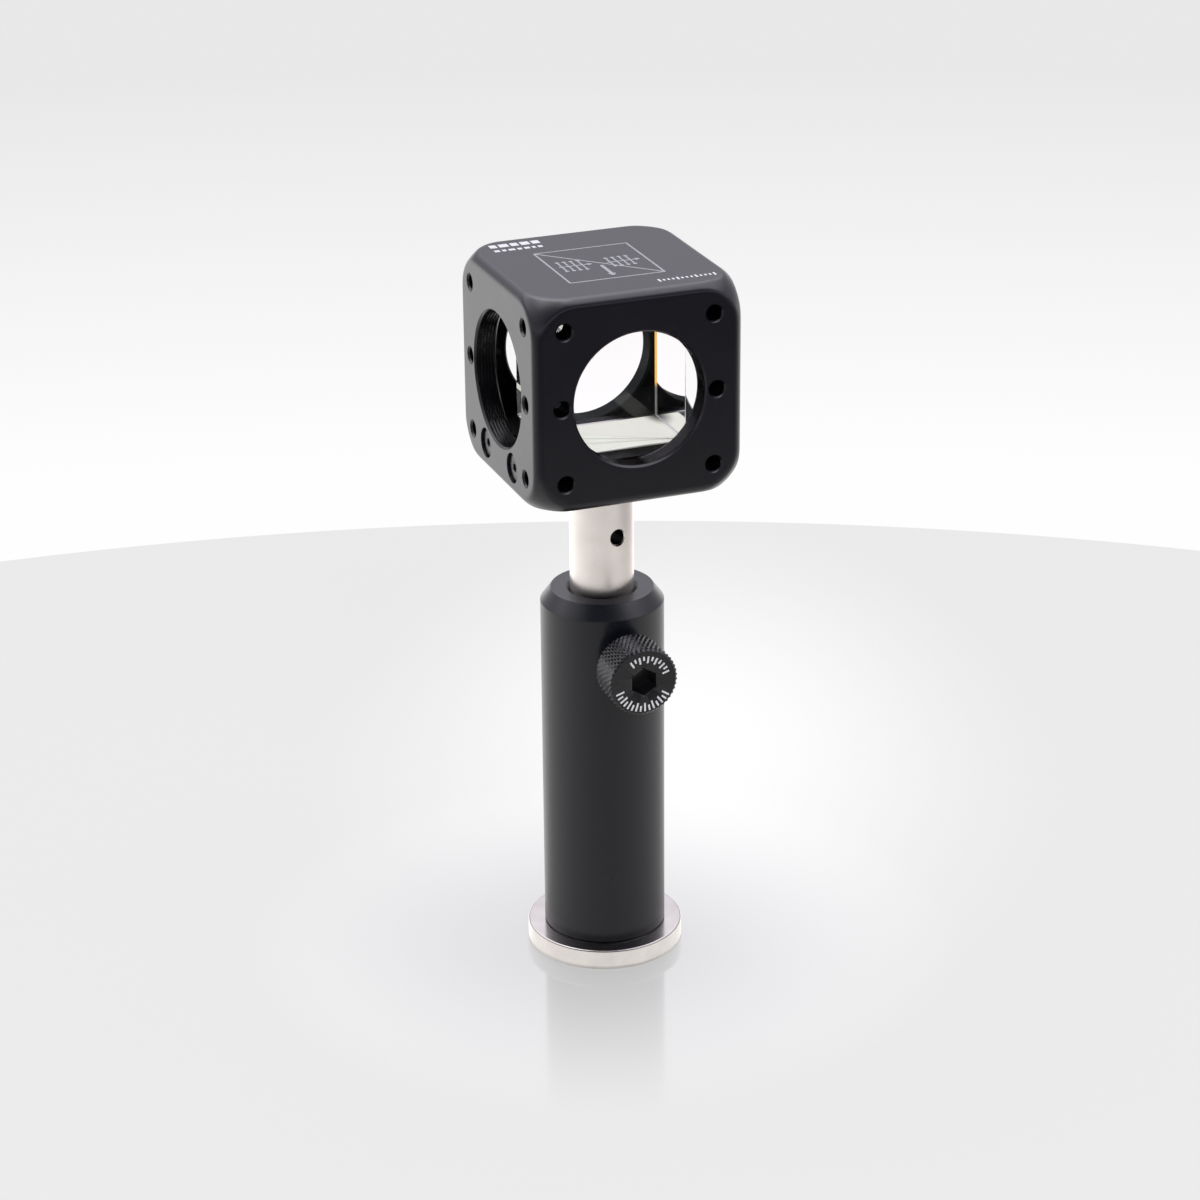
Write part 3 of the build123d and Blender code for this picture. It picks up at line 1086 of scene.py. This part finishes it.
def top_diagram():
    """Outline of the prisms seen from above, the coated diagonal, and plain polarisation signs."""
    strokes = [stroke(OUTLINE[k], OUTLINE[(k + 1) % 4], LINE) for k in range(4)]
    strokes.append(stroke(OUTLINE[3], OUTLINE[1], LINE))
    for cx, cy, tall in SIGNS:
        a, b = scaled(*((cx + along, cy) for along in SIGN_ARROW))
        strokes.append(stroke(a, b, FINE_LINE))
        strokes += arrow_ends(a, b, HEAD, FINE_LINE)
        for row in SIGN_ROWS:
            c, d = scaled((cx + row, cy - tall), (cx + row, cy + tall))
            strokes.append(stroke(c, d, FINE_LINE))
            strokes += arrow_ends(c, d, SMALL_HEAD, FINE_LINE) + arrow_ends(d, c, SMALL_HEAD, FINE_LINE)
    strokes.append(stroke(*BEAM, BOLD_LINE))
    strokes += arrow_ends(*BEAM, LARGE_HEAD, LINE)
    top = Matrix.Translation((CUBE_CENTRE.x, CUBE_CENTRE.y, housing_high.z))
    marks("top_diagram", strokes, top, GREY_INK, "head")
    bars = []
    for y, height, x, spans in BARS:
        for span in spans:
            bars.append(stroke(*scaled((x, y), (x + span, y)), height * MM))
            x += span + BAR_GAP
    marks_apart("top_bars", bars, top, WHITE_INK, "head")
    ticks = []
    for k in range(SCALE_TICKS):
        x, y = SCALE_START[0] + SCALE_STEP * k, SCALE_START[1]
        tall = SHORT_TICK if k % LONG_EVERY else LONG_TICK
        ticks.append(stroke(*scaled((x, y - tall), (x, y + tall)), SCALE_TICK))
    marks_apart("top_ticks", ticks, top, WHITE_INK, "head")


# Arcs of ticks on the knob's face: middle and span in degrees, count, both ends as shares of the radius
KNOB_ARCS = ((70, 104, 11, 0.56, 0.76), (262, 128, 15, 0.62, 0.87))
KNOB_TICK = 0.36 * MM
SHORTER_BY = 0.08


def knob_ticks(radius, face_y):
    ticks = []
    for middle, span, count, inner, outer in KNOB_ARCS:
        for k in range(count):
            angle = math.radians(middle - span / 2 + span * k / (count - 1))
            deep = inner if k % 2 == 0 else inner + SHORTER_BY
            ray = Vector((math.cos(angle), math.sin(angle)))
            ticks.append(stroke(ray * radius * deep, ray * radius * outer, KNOB_TICK))
    marks_apart("knob_ticks", ticks, lock_matrix(face_y), WHITE_INK, "lock_knob")


# Nodes whose own shape is right and that only get a finish
FINISHES = {
    "carrier_plate": PLATE_BLACK, "polarizing_film": FILM, "adhesive_pad": PAD, "post_stud": THREAD_STEEL,
    "pedestal_screw": THREAD_STEEL, "plunger_pin": PIN_WHITE,
}


def dress_nodes():
    for node, material in FINISHES.items():
        obj = frame["nodes"][node]
        obj.data.materials.clear()
        obj.data.materials.append(material)


# Stage: what the camera sees straight on and what polished surfaces mirror are set apart

AXIS = (0, 0, 0)
VIEW_WAY = Vector((math.sin(math.radians(CAMERA_AZIMUTH)), math.cos(math.radians(CAMERA_AZIMUTH)), 0))
BRIGHT_WAY = Vector((0.19, 0.98, 0))
STRAIGHT_DEPTH = 2.5

# Table, as seen: a pale oval of painted glow, with painted shade lowering its glow near the object, where it
# is also glossy and mirrors the object
TABLE_R = 0.511
TABLE_CENTRE = 0.28
TABLE_PROFILE = (
    (0.0005, -0.012), (TABLE_R - 0.001, -0.012), (TABLE_R, -0.011),
    (TABLE_R, -0.0005), (TABLE_R - 0.0005, 0), (0.0005, 0),
)
TABLE_GREY = (0.15, 0.15, 0.15, 1)
TABLE_ROUGHNESS = 0.1
TABLE_IOR = 2.0
TABLE_GLOW = (1, 1, 0.99, 1)
MATT_WHITE = (0.8, 0.8, 0.8, 1)
GLOW_CENTRE = (0.05, 0.08, 0)
GLOW_REACH = (0.09, 0.16, 1)
GLOW_LEVELS = (0.85, 0.67)
SHINE_REACH = (0.075, 0.075, 1)
SHINE_SPECULAR = 0.5
SHINE_PAINTED_SHADE = 0.3

# Levels that polished surfaces meet, from the dark side in front (0) to the bright side behind (1)
LEVEL_MAX = 2.0
FLOOR_FAR = ((0.0, 0.04), (0.11, 0.055), (0.25, 0.18), (0.5, 0.45), (0.75, 0.95), (0.89, 1.25), (1.0, 1.3))
FLOOR_NEAR = ((0.0, 0.24), (0.25, 0.36), (0.56, 0.53), (0.765, 0.68), (0.885, 0.98), (1.0, 1.1))
NEAR_REACH = (0.2, 0.365)
FLOOR_TINT = (1.02, 0.995, 0.995)

# The same by height, 1 straight above: a factor, and a least level
WORLD_HEIGHT = ((0.0, 1.0), (0.03, 0.6), (0.1, 0.5), (0.2, 0.46), (0.42, 0.42), (0.5, 1.2), (0.6, 1.2))
WORLD_LEAST = ((0.0, 0.0), (0.1, 0.0), (0.18, 0.9), (0.36, 0.9), (0.44, 0.0))
ROOF_WAY = Vector((0.45, -0.1, 0.89))
ROOF_EDGE = (0.855, 0.915)
ROOF_LEVEL = 1.25

# Surroundings as seen
PALE_EDGE = (-0.35, -0.243)
PALE_LEVELS = (0.99, 0.81)
THROUGH_GLASS = 1.15
SKY_TINT = (0.975, 0.96, 1.06)
SKY_TINT_HEIGHT = 0.2

# Lights: place, aim, size, power
BOX_AIM = (0, 0, 0.1)
TOP_BOX = ((-0.15, 0.1, 0.9), BOX_AIM, (0.7, 0.7), 2)
FRONT_BOX = ((-0.2, -0.95, 0.75), BOX_AIM, (0.6, 0.4), 5)
STEEL_CARD = ((-0.2, -0.12, 0.0001), (-0.2, -0.12, 1), (0.8, 0.8), 1.65)


def make_floor():
    floor = turned("floor", TABLE_PROFILE, LARGE_ROUND)
    place(floor, Matrix.Translation(-VIEW_WAY * TABLE_CENTRE))
    smooth(floor)
    material, tree, shader = node_material("floor_white")
    shader.inputs["Base Color"].default_value = TABLE_GREY
    shader.inputs["Roughness"].default_value = TABLE_ROUGHNESS
    shader.inputs["IOR"].default_value = TABLE_IOR
    shader.inputs["Emission Color"].default_value = TABLE_GLOW
    glow = oval_ramp(tree, GLOW_CENTRE, GLOW_REACH, GLOW_LEVELS)
    shine = oval_ramp(tree, AXIS, SHINE_REACH, (1.0, 0.0))
    # Painted shade: the glow is lowered where the floor is made glossy round the object
    dimmed = calc(tree, "SUBTRACT", glow, calc(tree, "MULTIPLY", shine, SHINE_PAINTED_SHADE))
    tree.links.new(calc(tree, "MULTIPLY", shine, SHINE_SPECULAR), shader.inputs["Specular IOR Level"])
    tree.links.new(dimmed, shader.inputs["Emission Strength"])
    plain = add_node(tree, "ShaderNodeBsdfDiffuse")
    plain.inputs["Color"].default_value = MATT_WHITE
    mirrored = add_node(tree, "ShaderNodeEmission")
    mirrored.inputs["Color"].default_value = (*FLOOR_TINT, 1)
    tree.links.new(mirrored_floor(tree), mirrored.inputs["Strength"])
    path = add_node(tree, "ShaderNodeLightPath").outputs
    sharp = calc(tree, "MAXIMUM", path["Is Glossy Ray"], path["Is Transmission Ray"])
    unseen = shader_mix(tree, sharp, plain.outputs["BSDF"], mirrored.outputs["Emission"])
    seen = seen_share(tree, path, coordinates(tree))
    surface = shader_mix(tree, seen, unseen, shader.outputs["BSDF"])
    tree.links.new(surface, tree.nodes["Material Output"].inputs["Surface"])
    floor.data.materials.append(material)


def oval_ramp(tree, centre, reach, levels, span=(0.0, 1.0)):
    """Value that changes smoothly from the centre of an oval on the floor to its edge."""
    mapping = add_node(tree, "ShaderNodeMapping", vector_type="TEXTURE")
    feed(tree, mapping, coordinates(tree), centre, (0, 0, -math.radians(CAMERA_AZIMUTH)), reach)
    away = vector_calc(tree, "LENGTH", mapping.outputs["Vector"])
    return map_range(tree, away, span, levels, "SMOOTHSTEP")


def seen_share(tree, path, vector):
    """1 where the pale set itself is seen: straight, through the glass, or behind the object by way of it."""
    behind = calc(tree, "GREATER_THAN", vector_calc(tree, "DOT_PRODUCT", vector, VIEW_WAY), 0.0)
    straight = calc(tree, "LESS_THAN", path["Ray Depth"], STRAIGHT_DEPTH)
    through = calc(tree, "MULTIPLY", path["Is Transmission Ray"], calc(tree, "MAXIMUM", behind, straight))
    return calc(tree, "MAXIMUM", path["Is Camera Ray"], through)


def grey_ramp(tree, value, stops):
    """Level read from a table of (place from 0 to 1, level up to LEVEL_MAX) pairs."""
    greys = [(position, 3 * [level / LEVEL_MAX]) for position, level in stops]
    return calc(tree, "MULTIPLY", ramp(tree, value, greys), LEVEL_MAX)


def compass(tree, vector):
    """0 for what lies in front of the object, 1 for what lies behind it, by compass direction."""
    level = vector_calc(tree, "MULTIPLY", vector, (1, 1, 0), output="Vector")
    unit = vector_calc(tree, "NORMALIZE", level, output="Vector")
    return map_range(tree, vector_calc(tree, "DOT_PRODUCT", unit, BRIGHT_WAY), (-1.0, 1.0))


def mixed_value(tree, share, first, second):
    node = add_node(tree, "ShaderNodeMix")
    for index, value in ((0, share), (2, first), (3, second)):
        tree.links.new(value, node.inputs[index])
    return node.outputs[0]


def mirrored_floor(tree):
    """Floor as polished things see it: bright near the object and behind it, dark far in front."""
    around = compass(tree, coordinates(tree))
    far = oval_ramp(tree, AXIS, (1, 1, 1), (0.0, 1.0), NEAR_REACH)
    return mixed_value(tree, far, grey_ramp(tree, around, FLOOR_NEAR), grey_ramp(tree, around, FLOOR_FAR))


def mirrored_world(tree, way, height):
    """Surroundings as polished things see them, with a bright roof to the right above."""
    around = grey_ramp(tree, compass(tree, way), FLOOR_FAR)
    lifted = calc(tree, "MAXIMUM", around, grey_ramp(tree, height, WORLD_LEAST))
    sides = calc(tree, "MULTIPLY", lifted, grey_ramp(tree, height, WORLD_HEIGHT))
    toward = vector_calc(tree, "DOT_PRODUCT", way, ROOF_WAY)
    return calc(tree, "MAXIMUM", sides, map_range(tree, toward, ROOF_EDGE, (0.0, ROOF_LEVEL), "SMOOTHSTEP"))


def make_world():
    world = bpy.data.worlds.new("studio")
    bpy.context.scene.world = world
    world.use_nodes = True
    tree = world.node_tree
    tree.nodes.clear()
    way = coordinates(tree, "Generated")
    height = part_of(tree, way, "Z")
    path = add_node(tree, "ShaderNodeLightPath").outputs
    gain = calc(tree, "MULTIPLY_ADD", path["Is Transmission Ray"], THROUGH_GLASS - 1, 1.0)
    pale = calc(tree, "MULTIPLY", map_range(tree, height, PALE_EDGE, PALE_LEVELS), gain)
    seen = seen_share(tree, path, way)
    background = add_node(tree, "ShaderNodeBackground")
    strength = mixed_value(tree, seen, mirrored_world(tree, way, height), pale)
    tree.links.new(strength, background.inputs["Strength"])
    aloft = map_range(tree, height, (0.0, SKY_TINT_HEIGHT))
    tree.links.new(tint(tree, aloft, (1, 1, 1), SKY_TINT), background.inputs["Color"])
    output = add_node(tree, "ShaderNodeOutputWorld")
    tree.links.new(background.outputs["Background"], output.inputs["Surface"])


def softbox(name, where, aim, size, power, mirrored=True):
    light = bpy.data.lights.new(name, "AREA")
    light.shape = "RECTANGLE"
    light.size, light.size_y = size
    light.energy = power
    obj = add_object(name, light)
    obj.visible_glossy = mirrored
    obj.visible_transmission = False
    obj.location = where
    obj.rotation_euler = (Vector(aim) - Vector(where)).to_track_quat("-Z", "Y").to_euler()
    return obj


def steel_card(pieces):
    """Pale card on the floor that lights only the bright steel, which mirrors white nearly all round."""
    card = softbox("steel_card", *STEEL_CARD)
    lit = bpy.data.collections.new("bright_steel")
    for piece in pieces:
        lit.objects.link(piece)
    card.light_linking.receiver_collection = lit


def make_camera():
    turn = rotation_about_z(-CAMERA_AZIMUTH).to_3x3()
    tilt = math.radians(CAMERA_TILT)
    roll = math.radians(CAMERA_ROLL)
    forward = turn @ Vector((0, math.cos(tilt), -math.sin(tilt)))
    side = turn @ Vector((1, 0, 0))
    rise = side.cross(forward)
    across = math.cos(roll) * side + math.sin(roll) * rise
    up = -math.sin(roll) * side + math.cos(roll) * rise
    data = bpy.data.cameras.new("photo_camera")
    data.sensor_width = SENSOR_MM
    data.lens = FOCAL_PX / PHOTO_SIDE_PX * SENSOR_MM
    data.clip_start, data.clip_end = CLIP
    camera = add_object("photo_camera", data)
    rotation = Matrix((across, up, -forward)).transposed().to_4x4()
    camera.matrix_world = Matrix.Translation(CAMERA_PLACE) @ rotation
    bpy.context.scene.camera = camera


def main():
    make_camera()
    cube_housing()
    for node in SCREW_NODES:
        side_screw(node)
    prism("prism_front_half", "front_prism", -1)
    prism("prism_back_half", "back_prism", 1)
    knob_r, knob_face = thumbscrew_knob()
    knob_ticks(knob_r, knob_face)
    thumbscrew_shank()
    plunger_spring()
    holder()
    steel = [post(), pedestal()]
    top_diagram()
    dress_nodes()
    make_floor()
    make_world()
    softbox("top_box", *TOP_BOX)
    softbox("front_box", *FRONT_BOX, mirrored=False)
    steel_card(steel)
    bpy.context.scene.view_settings.view_transform = "Standard"


main()
